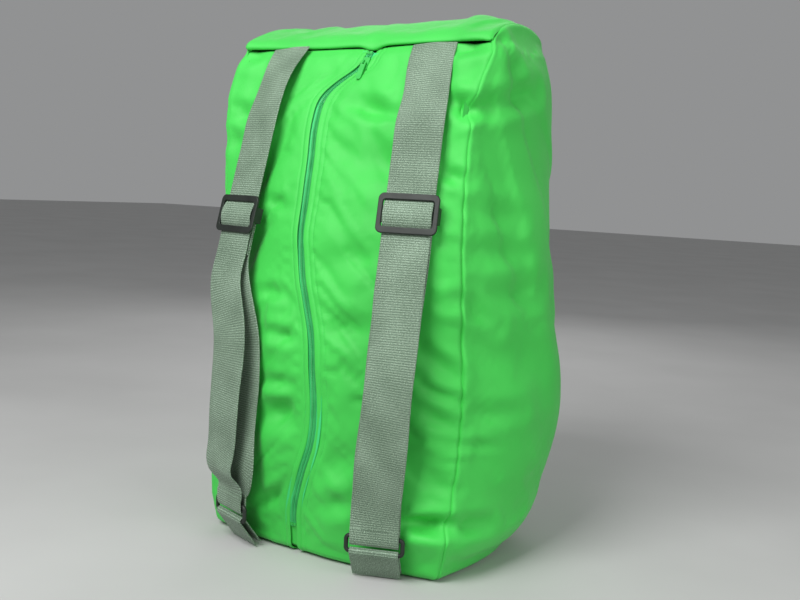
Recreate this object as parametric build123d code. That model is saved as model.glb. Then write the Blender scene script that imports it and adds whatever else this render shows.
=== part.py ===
from build123d import *
import math
import os

# Soft upright rope bag, millimetres.  +Z up, standing on z = 0.  The zipped back, with the two
# shoulder straps, faces -Y; the plain front faces +Y.  X runs across the bag.

# ---- driving dimensions -------------------------------------------------------------------
WALL = 2.2              # one coated-fabric panel with its seam allowance
BAG_HEIGHT = 580.0      # floor to the crest of the stuffed top
TOP_SEAM_Z = 545.0      # seam between the back and the top panel

# zip line: an arc in the YZ plane, bowed outwards by the rope inside
ZIP_FOOT = (-118.0, 0.0)
ZIP_HEAD = (-60.0, TOP_SEAM_Z)
ZIP_BOW = 52.0
ZIP_SLANT = 3.4         # the stuffed bag pulls the zip's head over towards +X
ZIP_PIVOT_Z = 368.0     # height at which the slanted zip crosses the middle

# body stations: height, half width at the side seams, seam Y, front Y, side bulge;
# the last one is above the crest, and the vault trims it
STATIONS = (
    (0, 143, -100, 106, 0.07),
    (25, 149, -105, 132, 0.12),
    (80, 152, -104, 151, 0.18),
    (170, 152, -96, 162, 0.22),
    (270, 149, -94, 168, 0.24),
    (370, 146, -94, 166, 0.23),
    (450, 144, -88, 162, 0.20),
    (510, 144, -76, 154, 0.16),
    (545, 143, -60, 144, 0.12),
    (610, 139, -56, 132, 0.10),
)
CORNER_POWER = 4.0      # how square the front corners are
BACK_POWER = 2.2        # how the back falls away from the zip to the side seams
FRONT_POINTS = 25
BACK_POINTS = 9

# stuffed top: a vault about a crosswise axis
VAULT_Y = 36.0
VAULT_R = 142.0
BACK_SEAM_Z = 541.0     # lower edge of the top panel, at the back and at the front
FRONT_SEAM_Z = 510.0

# zip
ZIP_GAP = 6.0           # half the slot between the two back panels
TAPE_HALF = 16.0
TAPE_T = 0.8
TAPE_DEPTH = 3.4        # tape face below the zip arc
COIL_HALF = 3.2
COIL_SLIT = 0.35        # half the slit between the two coils
COIL_T = 2.4
ZIP_FOOT_Z = 30.0
ZIP_TOP_Z = 536.0
STOP_LENGTH = 3.0
STOP_T = 0.9
STOP_HALF = 3.6
PATCH_CLEAR = 0.3
SLIDER_LENGTH = 13.0
SLIDER_HALF = 4.2
SLIDER_PLATE = 1.3
SLIDER_PLAY = 0.3       # between each plate and what it runs over
SLIDER_NECK = (3.0, 0.5)
SLIDER_Z = 521.0
PULL_LENGTH = 22.0
PULL_WIDTH = 6.0
PULL_T = 1.4
BAIL_R = 2.4
BAIL_WIRE = 0.8
PULL_HANG = 9.4         # pivot to the middle of the pull
PULL_PIN_R = 0.6

# webbing and its hardware
WEB = 50.0
WEB_T = 1.6
HEAD_RUN = ((540.0, -0.9), (528.0, 1.2), (510.0, 1.6), (488.0, 3.0))    # height, gap to the back
FRONT_RUN = ((103.5, -154.0, 235.0, 15.0), (102.5, -160.2, 175.0, 17.0),  # X, Y, Z, yaw
             (97.0, -159.0, 120.0, 19.0))
RETURN_RUN = ((103.0, -139.0, 240.0, 15.0), (99.0, -140.0, 175.0, 17.0),
              (93.0, -139.5, 120.0, 19.0))
ADJ_POINT = (103.0, -126.0, 375.0)
ADJ_YAW = 13.0
ADJ_SET = {-1: -18.0, 1: -7.0}   # how far up its strap each adjuster is set
STRETCH_LEAN = 13.6     # the strap's straight stretch leans back at the top
STRETCH_HALF = 84.0
ADJ_W = 62.0
ADJ_H = 40.0
ADJ_WINDOW_W = 52.0
ADJ_WINDOW_H = 27.0
ADJ_FRAME_T = 3.2
ADJ_CORNER = 6.0
ADJ_EDGE = 0.9
ADJ_GAP = 1.2           # webbing centre plane to the frame
CHEEK_H = 16.0
CHEEK_SUNK = 0.5        # how far the cheeks run into the frame
BAR_H = 8.0
BAR_T = 3.0
BAR_Y = 2.9
LOOP_T = 1.4
LOOP_TAIL = 38.0
LOOP_CLEAR = 0.2
RING_POINT = (92.0, -142.0, 40.0)
RING_YAW = 20.0
RING_W = 62.0
RING_BAR_R = 2.2
RING_HALF_H = 8.0       # bar centre to ring centre
RING_CORNER = 4.0
FOLD_CLEAR = 0.2
FOLD_LEG = 22.0
LEG_GAP = 2.2           # from the fold's legs up to the strap's runs
TAB_FOOT = (90.0, -120.5, 4.0)
STRAP_HEAD_X = 90.0
STRAP_CLEAR = 1.5       # webbing centre to the back panel where it lies on it

# inside
BINDING_T = 1.0
BINDING_W = 12.0
CORNER_X = 120.0        # the side seams' tape lies outside this
TIE_WEB = 25.0
TIE_R = 17.0
TIE_T = 2.0

SIDES = {"left": -1, "right": 1}
BIG = 400.0             # larger than the bag, for the regions that trim it


# ---- shared curves --------------------------------------------------------------------------
def zip_arc():
    """Centre (y, z) and radius of the arc that the zip follows."""
    (y0, z0), (y1, z1) = ZIP_FOOT, ZIP_HEAD
    chord = math.hypot(y1 - y0, z1 - z0)
    radius = (chord * chord / 4 + ZIP_BOW * ZIP_BOW) / (2 * ZIP_BOW)
    ny, nz = (z1 - z0) / chord, -(y1 - y0) / chord
    reach = radius - ZIP_BOW
    return (y0 + y1) / 2 + ny * reach, (z0 + z1) / 2 + nz * reach, radius


ARC_Y, ARC_Z, ARC_R = zip_arc()


def zip_angle(z):
    """Angle of the zip arc at height z, measured at the arc's centre from the level."""
    return math.asin((z - ARC_Z) / ARC_R)


def zip_y(z):
    """Y of the back along the zip."""
    return ARC_Y - ARC_R * math.cos(zip_angle(min(z, TOP_SEAM_Z)))


def front_point(turn, station, inset):
    """A point of the side and front wall; turn runs from 0 at the right seam to pi."""
    z, half, seam_y, front_y, bulge = station
    c, s = round(math.cos(turn), 9), round(math.sin(turn), 9)
    depth = abs(s) ** (2 / CORNER_POWER)
    swell = 1 + bulge * math.sin(math.pi * min(depth, 1.0)) ** 0.8
    x = (half - inset) * math.copysign(abs(c) ** (2 / CORNER_POWER), c) * swell
    return (x, seam_y + (front_y - inset - seam_y) * depth, z)


def back_point(x, station, inset):
    """A point of the back wall at x."""
    z, half, seam_y, _, _ = station
    crown = zip_y(z) + inset
    fall = (abs(x) / (half - inset)) ** BACK_POWER
    return (x, crown + (seam_y - crown) * fall, z)


def section(station, inset):
    """The bag's closed outline at one height."""
    half = station[1] - inset
    xs = [half * (2 * i / (BACK_POINTS - 1) - 1) for i in range(BACK_POINTS)]
    back = Spline(*[back_point(x, station, inset) for x in xs])
    steps = [math.pi * i / (FRONT_POINTS - 1) for i in range(FRONT_POINTS)]
    turns = [math.pi * (0.5 - 0.5 * math.cos(step)) for step in steps]
    front = Spline(*[front_point(turn, station, inset) for turn in turns])
    return Face(Wire([back, front]))


def side_slab(face):
    """A YZ outline drawn as (y, z) on Plane.YZ, carried right across the bag."""
    return extrude(face, amount=BIG, both=True)


def vault_region(inset):
    """Everything under the vault of the stuffed top, and in front of it down to the back seam."""
    centre_z = BAG_HEIGHT - VAULT_R
    with BuildSketch(Plane.YZ) as region:
        with Locations((VAULT_Y, centre_z)):
            Circle(VAULT_R - inset)
        with Locations((0, centre_z / 2)):
            Rectangle(2 * BIG, centre_z)
        with Locations((-BIG / 2, BACK_SEAM_Z / 2)):
            Rectangle(BIG, BACK_SEAM_Z)
    return side_slab(region.sketch)


def below_floor(height):
    """A slab from under the floor up to a height."""
    return Pos(0, 0, height - BIG / 2) * Box(2 * BIG, 2 * BIG, BIG)


def body_solid(inset):
    """The filled bag, drawn in by an inset on every side."""
    walls = loft([section(s, inset) for s in STATIONS])
    return (walls & vault_region(inset)) - below_floor(inset)


def seam_region(offset):
    """Everything on the -Y side of the side seams, moved by an offset in Y."""
    seam = Spline(*[(s[2] + offset, s[0]) for s in STATIONS])
    first, last = seam @ 0, seam @ 1
    rest = Polyline((last.X, last.Y), (last.X, last.Y + 40), (-BIG, last.Y + 40), (-BIG, -40),
                    (first.X, -40), (first.X, first.Y))
    return side_slab(Plane.YZ * make_face([seam, rest]))


def slot_region(half):
    """A slot through the back, half its width to each side of x = 0."""
    return Pos(0, -BIG / 2, BAG_HEIGHT / 2) * Box(2 * half, BIG, 2 * BAG_HEIGHT)


def half_space(side):
    """Everything on one side of x = 0."""
    return Pos(side * BIG / 2, 0, BAG_HEIGHT / 2) * Box(BIG, 2 * BIG, 2 * BAG_HEIGHT)


def on_zip(shape):
    """Leans a shape drawn about x = 0 over to the slanted line of the zip."""
    return Pos(0, 0, ZIP_PIVOT_Z) * Rot(0, ZIP_SLANT, 0) * Pos(0, 0, -ZIP_PIVOT_Z) * shape


def arc_band(r_in, r_out, z_low, z_high, x_low, x_high):
    """A curved bar that follows the zip arc between two heights."""
    low, high = math.pi - zip_angle(z_low), math.pi - zip_angle(z_high)

    def at(radius, angle):
        return (ARC_Y + radius * math.cos(angle), ARC_Z + radius * math.sin(angle))

    middle = (low + high) / 2
    outer = ThreePointArc(at(r_out, low), at(r_out, middle), at(r_out, high))
    inner = ThreePointArc(at(r_in, high), at(r_in, middle), at(r_in, low))
    ends = [Line(outer @ 1, inner @ 0), Line(inner @ 1, outer @ 0)]
    face = Plane.YZ * make_face([outer, ends[0], inner, ends[1]])
    return Pos(x_low, 0, 0) * extrude(face, amount=x_high - x_low, dir=(1, 0, 0))


# ---- fabric panels ----------------------------------------------------------------------------
def panels():
    """The five fabric panels and the patch at the foot of the zip."""
    outer = body_solid(0)
    inner = body_solid(WALL)
    top = outer - vault_region(WALL) - below_floor(FRONT_SEAM_Z)
    bottom = outer & below_floor(WALL)
    walls = outer - inner - top - below_floor(WALL)
    back_side = seam_region(WALL + 0.4)
    back = walls & back_side
    parts = {
        "top_panel": top,
        "bottom_panel": bottom,
        "front_panel": walls - back_side,
    }
    for name, side in SIDES.items():
        parts[f"back_panel_{name}"] = (back & on_zip(half_space(side))) - on_zip(slot_region(ZIP_GAP))
    patch = back & on_zip(slot_region(ZIP_GAP - PATCH_CLEAR)) & below_floor(ZIP_FOOT_Z - 2 * PATCH_CLEAR)
    parts["zip_foot_patch"] = patch
    return parts, inner


def bindings(inner):
    """Tape bound over the raw edges of each seam, inside the bag."""
    skin = inner - body_solid(WALL + BINDING_T)
    at_back = Pos(0, -BIG / 2, BAG_HEIGHT / 2) * Box(2 * BIG, BIG, 2 * BAG_HEIGHT)
    clear_of_zip = on_zip(slot_region(TAPE_HALF + 4))
    foot_z = WALL + BINDING_W
    head_z = BACK_SEAM_Z - BINDING_W
    skirt_z = FRONT_SEAM_Z - BINDING_W
    head = skin & at_back & level_band(head_z - 1, BACK_SEAM_Z - 2)
    parts = {
        "seam_binding_bottom": (skin & level_band(WALL + BINDING_T, foot_z)) - clear_of_zip,
        "seam_binding_top_back": head - clear_of_zip,
        "seam_binding_top_front": (skin - at_back) & level_band(skirt_z - 1, FRONT_SEAM_Z - 2),
    }
    along_seam = seam_region(BINDING_W / 2) - seam_region(-BINDING_W / 2)
    sides = (skin & along_seam & level_band(foot_z + 1, head_z - 2)) - slot_region(CORNER_X)
    for name, side in SIDES.items():
        parts[f"seam_binding_{name}"] = sides & half_space(side)
    return parts


def level_band(low, high):
    """Everything between two heights."""
    return Pos(0, 0, (low + high) / 2) * Box(2 * BIG, 2 * BIG, high - low)


# ---- zip --------------------------------------------------------------------------------------
def zip_parts():
    """Two tapes with their coils, the stops, the slider and its pull."""
    parts = {}
    tape_out = ARC_R - TAPE_DEPTH
    coil_out = tape_out + COIL_T
    for name, side in SIDES.items():
        spans = {
            "tape": (tape_out - TAPE_T, tape_out, TAPE_HALF),
            "coil": (tape_out, coil_out, COIL_HALF),
        }
        for piece, (r_in, r_out, reach) in spans.items():
            low, high = sorted((side * COIL_SLIT, side * reach))
            parts[f"zip_{piece}_{name}"] = arc_band(r_in, r_out, ZIP_FOOT_Z, ZIP_TOP_Z, low, high)
    stop_z = {"zip_stop_bottom": ZIP_FOOT_Z + 1, "zip_stop_top": ZIP_TOP_Z - STOP_LENGTH - 1}
    for name, z in stop_z.items():
        halves = [arc_band(coil_out, coil_out + STOP_T, z, z + STOP_LENGTH,
                           *sorted((side * COIL_SLIT, side * STOP_HALF)))
                  for side in SIDES.values()]
        parts[name] = Compound(halves)
    low, high = SLIDER_Z - SLIDER_LENGTH / 2, SLIDER_Z + SLIDER_LENGTH / 2
    face_in = coil_out + SLIDER_PLAY
    face_out = face_in + SLIDER_PLATE
    under_out = tape_out - TAPE_T - SLIDER_PLAY
    under_in = under_out - SLIDER_PLATE
    slider = arc_band(face_in, face_out, low, high, -SLIDER_HALF, SLIDER_HALF)
    slider += arc_band(under_in, under_out, low, high, -SLIDER_HALF, SLIDER_HALF)
    neck_length, neck_width = SLIDER_NECK
    slider += arc_band(under_in, face_out, SLIDER_Z - neck_length / 2, SLIDER_Z + neck_length / 2,
                       -neck_width / 2, neck_width / 2)
    pivot = slider_pivot()
    slider += bail(pivot, face_out)
    parts["zip_slider"] = slider
    parts["zip_pull"] = pull(pivot)
    return {name: on_zip(shape) for name, shape in parts.items()}


def slider_pivot():
    """Centre (y, z) of the bail's eye on the slider's outer face."""
    angle = zip_angle(SLIDER_Z)
    reach = ARC_R - TAPE_DEPTH + COIL_T + SLIDER_PLATE + BAIL_R
    return ARC_Y - reach * math.cos(angle), ARC_Z + reach * math.sin(angle)


def bail(pivot, face_out):
    """A small arch standing on the slider, with an eye for the pull."""
    half = BAIL_WIRE
    ring = Circle(BAIL_R) - Circle(BAIL_R - BAIL_WIRE)
    slope = math.degrees(zip_angle(SLIDER_Z))
    arch = extrude(Plane.YZ * Pos(*pivot) * ring, amount=half, both=True)
    angle = math.pi - zip_angle(SLIDER_Z)
    foot_r = face_out - 0.2
    foot = (ARC_Y + foot_r * math.cos(angle), ARC_Z + foot_r * math.sin(angle))
    plate = Plane.YZ * Pos(*foot) * Rot(0, 0, -slope) * Rectangle(0.8, 2 * BAIL_R)
    return arch + extrude(plate, amount=half, both=True)


def pull(pivot):
    """A flat tab on a link through the bail's eye, hanging down the closed zip."""
    slope = math.degrees(zip_angle(SLIDER_Z))
    with BuildPart() as tab:
        with BuildSketch(Plane.XZ.offset(-PULL_T / 2)):
            with Locations((0, -PULL_HANG)):
                RectangleRounded(PULL_WIDTH, PULL_LENGTH, 2.2)
        extrude(amount=PULL_T)
    room_for_bail = Rot(0, 90, 0) * Cylinder(BAIL_R + 0.35, 2 * BAIL_WIRE + 1.0)
    rod = Rot(0, 90, 0) * Cylinder(PULL_PIN_R, PULL_WIDTH - 1)
    return Pos(0, *pivot) * Rot(-slope, 0, 0) * (tab.part - room_for_bail + rod)


# ---- straps -----------------------------------------------------------------------------------
def ribbon(stations):
    """Webbing through stations of (point, yaw): one straight length from each to the next."""
    points = [Vector(*p) for p, _ in stations]
    faces = []
    for i, (_, yaw) in enumerate(stations):
        ahead = points[min(i + 1, len(points) - 1)] - points[min(i, len(points) - 2)]
        behind = points[max(i, 1)] - points[max(i - 1, 0)]
        along = (ahead.normalized() + behind.normalized()).normalized()
        across = Vector(math.cos(math.radians(yaw)), math.sin(math.radians(yaw)), 0)
        across = (across - along * across.dot(along)).normalized()
        plane = Plane(origin=points[i], x_dir=across, z_dir=along)
        faces.append(plane * Rectangle(WEB, WEB_T).face())
    return loft(faces, ruled=True)


def at_adjuster(side, shape):
    """Places a shape drawn about the adjuster's centre on one strap."""
    x, y, z = ADJ_POINT
    turned = Rot(0, 0, side * ADJ_YAW) * Rot(-STRETCH_LEAN, 0, 0) * Pos(0, 0, ADJ_SET[side]) * shape
    return Pos(side * x, y, z) * turned


def at_ring(side, shape):
    """Places a shape drawn about the ring's centre on one strap."""
    x, y, z = RING_POINT
    return Pos(side * x, y, z) * Rot(0, 0, side * RING_YAW) * shape


def adjuster():
    """A moulded tri-glide: front frame, two cheeks and the bar set behind the webbing."""
    with BuildPart() as frame:
        with BuildSketch(Plane.XZ.offset(ADJ_GAP)):
            RectangleRounded(ADJ_W, ADJ_H, ADJ_CORNER)
            RectangleRounded(ADJ_WINDOW_W, ADJ_WINDOW_H, ADJ_CORNER - 3, mode=Mode.SUBTRACT)
        extrude(amount=ADJ_FRAME_T)
        fillet(frame.faces().filter_by(Axis.Y).edges(), ADJ_EDGE)
    cheek_w = (ADJ_W - ADJ_WINDOW_W) / 2 - 1
    depth = BAR_Y + BAR_T + ADJ_GAP + CHEEK_SUNK
    shape = frame.part
    for side in SIDES.values():
        cheek = Pos(side * (ADJ_W - cheek_w) / 2, BAR_Y + BAR_T - depth / 2, 0)
        shape += cheek * Box(cheek_w, depth, CHEEK_H)
    shape += Pos(0, BAR_Y + BAR_T / 2, 0) * Box(ADJ_W - 1, BAR_T, BAR_H)
    return shape


def end_loop():
    """The strap's sewn end: a flat loop round the adjuster's bar with its tail stitched below."""
    clear = LOOP_CLEAR
    y_mid = BAR_Y + BAR_T / 2
    with BuildPart() as loop:
        with BuildSketch(Plane.YZ.offset(-WEB / 2)):
            with Locations((y_mid, 0)):
                RectangleRounded(BAR_T + 2 * (clear + LOOP_T), BAR_H + 2 * (clear + LOOP_T), 2.0)
                Rectangle(BAR_T + 2 * clear, BAR_H + 2 * clear, mode=Mode.SUBTRACT)
            with Locations((y_mid, -BAR_H / 2 - LOOP_TAIL / 2)):
                Rectangle(2 * LOOP_T, LOOP_TAIL - 2)
        extrude(amount=WEB)
    return loop.part


def ring():
    """A flat rectangular ring of round bar."""
    outline = RectangleRounded(RING_W - 2 * RING_BAR_R, 2 * RING_HALF_H, RING_CORNER)
    path = (Plane.XZ * outline).wire()
    bar = Plane(origin=path @ 0, z_dir=path % 0) * Circle(RING_BAR_R)
    return sweep(bar, path=path)


def u_fold(leg):
    """Webbing folded under a bar at the origin, with both legs standing up from it."""
    inner_r = RING_BAR_R + FOLD_CLEAR
    outer_r = inner_r + WEB_T
    with BuildPart() as fold:
        with BuildSketch(Plane.YZ.offset(-WEB / 2)):
            Circle(outer_r)
            with Locations((0, leg / 2)):
                Rectangle(2 * outer_r, leg)
            Circle(inner_r, mode=Mode.SUBTRACT)
            with Locations((0, leg / 2)):
                Rectangle(2 * inner_r, leg, mode=Mode.SUBTRACT)
        extrude(amount=WEB)
    return fold.part


def ring_bar(side, height):
    """Centre of the ring's upper (+1) or lower (-1) bar."""
    x, y, z = RING_POINT
    return (side * x, y, z + height * RING_HALF_H)


def ring_tab(side):
    """Webbing folded over the ring's lower bar, both plies running down to the bottom seam."""
    bar = Vector(*ring_bar(side, -1))
    foot = Vector(side * TAB_FOOT[0], TAB_FOOT[1], TAB_FOOT[2])
    run = foot - bar
    yaw = math.radians(side * RING_YAW)
    outward = run.X * math.sin(yaw) - run.Y * math.cos(yaw)
    lean = math.degrees(math.atan2(-outward, -run.Z))
    fold = u_fold(math.hypot(outward, run.Z))
    return Pos(*bar) * Rot(0, 0, side * RING_YAW) * Rot(180 + lean, 0, 0) * fold


def strap_front(side):
    """The front run: from the top seam, straight through the adjuster, down to the ring."""
    point = Vector(side * ADJ_POINT[0], ADJ_POINT[1], ADJ_POINT[2])
    along = stretch_direction(side)
    high, low = point + along * STRETCH_HALF, point - along * STRETCH_HALF
    stations = []
    for z, gap in HEAD_RUN:
        share = (TOP_SEAM_Z - z) / (TOP_SEAM_Z - high.Z)
        x = STRAP_HEAD_X + (abs(high.X) - STRAP_HEAD_X) * share
        yaw = ADJ_YAW * share
        y = clear_y(x, z, yaw) - STRAP_CLEAR - gap
        stations.append(((side * x, y, z), side * yaw))
    stations.append((tuple(high), side * ADJ_YAW))
    stations.append((tuple(low), side * ADJ_YAW))
    stations += [((side * x, y, z), side * yaw) for x, y, z, yaw in FRONT_RUN]
    stations.append((leg_end(side, -1), side * RING_YAW))
    return ribbon(stations)


def stretch_direction(side):
    """Unit vector up the strap's straight stretch."""
    lean, yaw = math.radians(STRETCH_LEAN), math.radians(side * ADJ_YAW)
    return Vector(-math.sin(yaw) * math.sin(lean), math.cos(yaw) * math.sin(lean), math.cos(lean))


def resting_y(x, z):
    """Y of the back panel at a height, between the stations."""
    for low, high in zip(STATIONS, STATIONS[1:]):
        if low[0] <= z <= high[0]:
            share = (z - low[0]) / (high[0] - low[0])
            station = [a + (b - a) * share for a, b in zip(low, high)]
            return back_point(x, station, 0)[1]


def clear_y(x, z, yaw):
    """Y at which the middle of a turned strap just clears the back panel on its whole width."""
    swing = WEB / 2 * math.sin(math.radians(yaw))
    return min(resting_y(x - WEB / 2, z) + swing, resting_y(x, z), resting_y(x + WEB / 2, z) - swing)


def leg_end(side, face):
    """Where a strap run meets the top of the ring fold: front leg (-1) or back leg (+1)."""
    reach = RING_BAR_R + FOLD_CLEAR + WEB_T / 2
    yaw = math.radians(side * RING_YAW)
    x, y, z = ring_bar(side, 1)
    return (x - face * reach * math.sin(yaw), y + face * reach * math.cos(yaw), z + FOLD_LEG + LEG_GAP)


def strap_return(side):
    """The return run, from the ring fold up behind the front run to the adjuster's end loop."""
    behind = BAR_Y + BAR_T / 2
    top = at_adjuster(side, Pos(0, behind, -BAR_H / 2 - LOOP_TAIL - 0.5)).position
    stations = [(tuple(top), side * ADJ_YAW)]
    stations += [((side * x, y, z), side * yaw) for x, y, z, yaw in RETURN_RUN]
    stations.append((leg_end(side, 1), side * RING_YAW))
    return ribbon(stations)


def strap_parts():
    """Both shoulder straps with their hardware."""
    parts = {}
    for name, side in SIDES.items():
        parts[f"strap_front_{name}"] = strap_front(side)
        parts[f"strap_return_{name}"] = strap_return(side)
        parts[f"strap_adjuster_{name}"] = at_adjuster(side, adjuster())
        parts[f"strap_end_loop_{name}"] = at_adjuster(side, end_loop())
        parts[f"strap_ring_{name}"] = at_ring(side, ring())
        parts[f"strap_fold_{name}"] = at_ring(side, Pos(0, 0, RING_HALF_H) * u_fold(FOLD_LEG))
        parts[f"ring_tab_{name}"] = ring_tab(side)
    return parts


def tie_loop():
    """Webbing hoop sewn to the floor inside, to tie the rope's end to."""
    with BuildPart() as hoop:
        with BuildSketch(Plane.XZ.offset(TIE_WEB / 2)):
            with Locations((0, WALL + TIE_R)):
                Circle(TIE_R)
            with Locations((0, WALL + TIE_R / 2)):
                Rectangle(2 * TIE_R, TIE_R)
            with Locations((0, WALL + TIE_R)):
                Circle(TIE_R - TIE_T, mode=Mode.SUBTRACT)
            with Locations((0, WALL + TIE_T + TIE_R / 2)):
                Rectangle(2 * (TIE_R - TIE_T), TIE_R, mode=Mode.SUBTRACT)
            with Locations((0, WALL + TIE_T / 2)):
                Rectangle(3 * TIE_R, TIE_T)
        extrude(amount=-TIE_WEB)
    return hoop.part


def main():
    parts, inner = panels()
    parts.update(bindings(inner))
    parts.update(zip_parts())
    parts.update(strap_parts())
    parts["rope_tie_loop"] = tie_loop()
    os.makedirs("parts", exist_ok=True)
    for name, shape in parts.items():
        shape.label = name
        export_step(shape, f"parts/{name}.step")


main()
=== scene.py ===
import math

import bpy
import numpy as np
from mathutils import Matrix


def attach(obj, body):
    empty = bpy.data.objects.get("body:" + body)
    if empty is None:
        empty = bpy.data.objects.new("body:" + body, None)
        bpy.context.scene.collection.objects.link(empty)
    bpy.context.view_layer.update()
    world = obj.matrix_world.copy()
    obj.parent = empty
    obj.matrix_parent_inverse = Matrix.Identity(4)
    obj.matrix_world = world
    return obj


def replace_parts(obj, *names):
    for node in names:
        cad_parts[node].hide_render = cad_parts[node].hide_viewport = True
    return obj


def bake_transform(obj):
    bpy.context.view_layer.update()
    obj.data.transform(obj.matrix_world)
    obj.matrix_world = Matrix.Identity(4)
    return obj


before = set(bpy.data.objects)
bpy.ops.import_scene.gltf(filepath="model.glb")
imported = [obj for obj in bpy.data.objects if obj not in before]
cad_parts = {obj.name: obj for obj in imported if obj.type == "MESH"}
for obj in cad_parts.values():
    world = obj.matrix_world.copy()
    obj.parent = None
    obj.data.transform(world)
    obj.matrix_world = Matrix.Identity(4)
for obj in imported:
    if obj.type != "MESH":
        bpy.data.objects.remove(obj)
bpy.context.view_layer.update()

MM = 0.001              # shapes are worked out in millimetres, as in the CAD, and built in metres

# ---- the CAD's own dimensions
BAG_HEIGHT = 580.0
SEAM_TOP_Z = 541.0
BACK_TOP_Z = 545.0
MIDDLE_Y = 25.0         # Y of the bag's middle, from which its wall faces out
MIDDLE_Z = 270.0
ARC_Y, ARC_Z, ARC_R = 603.1803, 198.8368, 748.0889     # arc of the zip line
STATIONS = np.array((   # outlines: height, half width, Y of the side seams, Y of the front, side bulge
    (0, 143, -100, 106, .07), (25, 149, -105, 132, .12), (80, 152, -104, 151, .18),
    (170, 152, -96, 162, .22), (270, 149, -94, 168, .24), (370, 146, -94, 166, .23),
    (450, 144, -88, 162, .20), (510, 144, -76, 154, .16), (545, 143, -60, 144, .12),
    (610, 139, -56, 132, .10)))
BACK_POWER = 2.2
VAULT_Y = 36.0          # the top is part of a lying cylinder
VAULT_R = 142.0
VAULT_BACK_Y = VAULT_Y - 96.5    # the top seam stays level behind this
VAULT_Z = BAG_HEIGHT - VAULT_R
ZIP_LOW_Z, ZIP_HIGH_Z = 30.0, 536.0
WEB, WEB_T = 50.0, 1.6  # webbing: width and thickness
ADJ_POINT = (103.0, -126.0, 375.0)
ADJ_YAW = 13.0
ADJ_SET = {-1: -18.0, 1: -7.0}          # how far each adjuster sits along its strap from that point
LEAN = 13.6             # lean of the straps' straight stretch
BAR_Y, BAR_T, BAR_H = 2.9, 3.0, 8.0     # the adjuster's centre bar: Y, thickness, height
LOOP_TAIL = 38.0        # length of the sewn end loop under that bar
RING_POINT = (92.0, -142.0, 40.0)
RING_YAW = 20.0
RING_BAR_R = 2.2
RING_HALF = 8.0         # from the ring's middle to the axis of its upper or lower bar
TAB_FOOT = (90.0, -120.5, 4.0)          # where the ring's tab goes into the bottom seam
SIDES = {"left": -1, "right": 1}

# ---- the cloth's grid
NB = 46                 # steps across the back, and across the front
NS = 34                 # steps along each side
NR = 84                 # steps up the wall
NC = 2 * (NB + NS)
FOOT_R = 9.0            # rounding of the bottom edge
CLOTH_T = 1.2           # shown thickness of the fabric

# zip line as sewn: height and X of the chain; it meets the straight line at both stops
ZIP_LINE = np.array((
    (-5, -22.6), (20, -20.8), (46, -19.0), (64, -14.8), (84, -8.2), (102, -1.6), (122, 6.0), (141, 10.4),
    (165, 12.0), (196, 10.4), (224, 8.2), (246, 4.4), (262, -0.6), (278, -5.6), (295, -11.2), (316, -15.6),
    (342, -19.8), (370, -22.0), (400, -24.2), (427, -27.0), (445, -30.0), (463, -31.6), (478, -31.0),
    (489, -26.5), (498, -18.0), (505, -8.8), (512, 1.5), (519, 7.8), (527, 9.8), (538, 12.0), (560, 15.0)))


# ---- small helpers
def natural_spline(xs, ys):
    """A smooth curve through points, as a function of x; ys may have several columns."""
    xs, ys = np.asarray(xs, float), np.asarray(ys, float)
    n = len(xs)
    h = np.diff(xs)
    a = np.zeros((n, n))
    b = np.zeros((n,) + ys.shape[1:])
    a[0, 0] = a[-1, -1] = 1
    slope = np.diff(ys, axis=0) / h.reshape((-1,) + (1,) * (ys.ndim - 1))
    for i in range(1, n - 1):
        a[i, i - 1], a[i, i], a[i, i + 1] = h[i - 1], 2 * (h[i - 1] + h[i]), h[i]
        b[i] = 6 * (slope[i] - slope[i - 1])
    second = np.linalg.solve(a, b)

    def curve(x):
        x = np.asarray(x, float)
        i = np.clip(np.searchsorted(xs, x) - 1, 0, n - 2)
        t0, t1, step = x - xs[i], xs[i + 1] - x, h[i]
        if ys.ndim > 1:
            t0, t1, step = t0[..., None], t1[..., None], step[..., None]
        return (second[i] * t1 ** 3 + second[i + 1] * t0 ** 3) / (6 * step) \
            + (ys[i] / step - second[i] * step / 6) * t1 \
            + (ys[i + 1] / step - second[i + 1] * step / 6) * t0

    return curve


def noise(points, size, seed):
    """Smooth random values between -1 and 1, with lumps of about the given size."""
    table = np.random.default_rng(seed).uniform(-1, 1, (16, 16, 16))
    q = np.asarray(points, float) / size
    low = np.floor(q).astype(int)
    f = q - low
    f = f * f * (3 - 2 * f)
    total = np.zeros(q.shape[:-1])
    for corner in np.ndindex(2, 2, 2):
        weight = np.ones(q.shape[:-1])
        for axis, far in enumerate(corner):
            weight = weight * (f[..., axis] if far else 1 - f[..., axis])
        cell = [(low[..., axis] + far) % 16 for axis, far in enumerate(corner)]
        total += weight * table[cell[0], cell[1], cell[2]]
    return total


def bell(x, width):
    return np.exp(-(x / width) ** 2)


def smooth(x, low, high):
    """0 below low, 1 above high, and smooth between them."""
    t = np.clip((x - low) / (high - low), 0, 1)
    return t * t * (3 - 2 * t)


def unit(v):
    return v / np.maximum(np.linalg.norm(v, axis=-1, keepdims=True), 1e-9)


def run_along(line):
    """Length of a line of points up to each of them."""
    return np.concatenate([[0], np.cumsum(np.linalg.norm(np.diff(line, axis=0), axis=1))])


def heading(line):
    """Unit vectors along a line of points."""
    return unit(np.gradient(line, axis=0))


def flat_outward(x, y):
    """Level unit vectors away from the bag's middle."""
    return unit(np.stack([x, y - MIDDLE_Y, 0 * x], -1))


def grid_normals(p):
    """Normals of a grid of points, out of the side where rows cross columns."""
    return unit(np.cross(np.gradient(p, axis=1), np.gradient(p, axis=0)))


# ---- the bag's shape
station_curve = natural_spline(STATIONS[:, 0], STATIONS[:, 1:])
zip_curve = natural_spline(ZIP_LINE[:, 0], ZIP_LINE[:, 1])


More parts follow.
